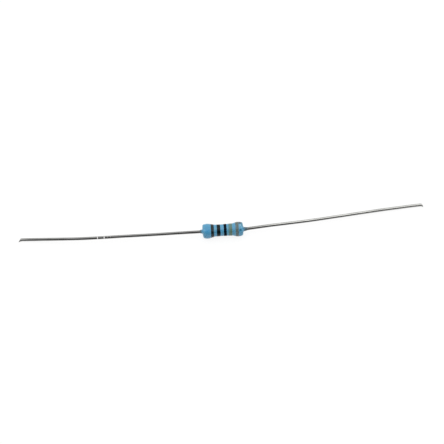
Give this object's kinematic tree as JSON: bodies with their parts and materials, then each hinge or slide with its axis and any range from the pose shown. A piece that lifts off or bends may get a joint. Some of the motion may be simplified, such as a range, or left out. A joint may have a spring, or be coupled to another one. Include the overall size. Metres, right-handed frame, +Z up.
{
  "type": "axial resistor",
  "caption": "Axial film resistor: a blue dog-bone body with painted colour bands over a ceramic core, and a hand-bent tinned wire lead at each end.",
  "frame": {"origin": "the middle of the coated body, on the body's own axis, half a body diameter above the surface that the part lies on", "axes": "+X along the body's axis from the first colour band towards the fifth, +Z up from the surface, +Y the way that both leads have been bent"},
  "size_m": [0.0624, 0.0043, 0.0022],
  "materials": {
    "ceramic": "fired, matt",
    "film": "thin metal film, satin",
    "cap_metal": "pressed and tin-plated",
    "lead_metal": "tinned, dull grey",
    "coating": "cured resin coat, satin",
    "first_band_paint": "printed paint, dark brown",
    "second_band_paint": "printed paint, black",
    "third_band_paint": "printed paint, blue-black",
    "fourth_band_paint": "printed metallic paint, dull gold over blue",
    "fifth_band_paint": "printed paint, thin brown over blue"
  },
  "bodies": {
    "root": {"ceramic_core": "ceramic", "resistive_film": "film", "left_end_cap": "cap_metal", "right_end_cap": "cap_metal", "left_lead": "lead_metal", "right_lead": "lead_metal", "coating": "coating", "first_band": "first_band_paint", "second_band": "second_band_paint", "third_band": "third_band_paint", "fourth_band": "fourth_band_paint", "fifth_band": "fifth_band_paint"}
  },
  "joints": []
}
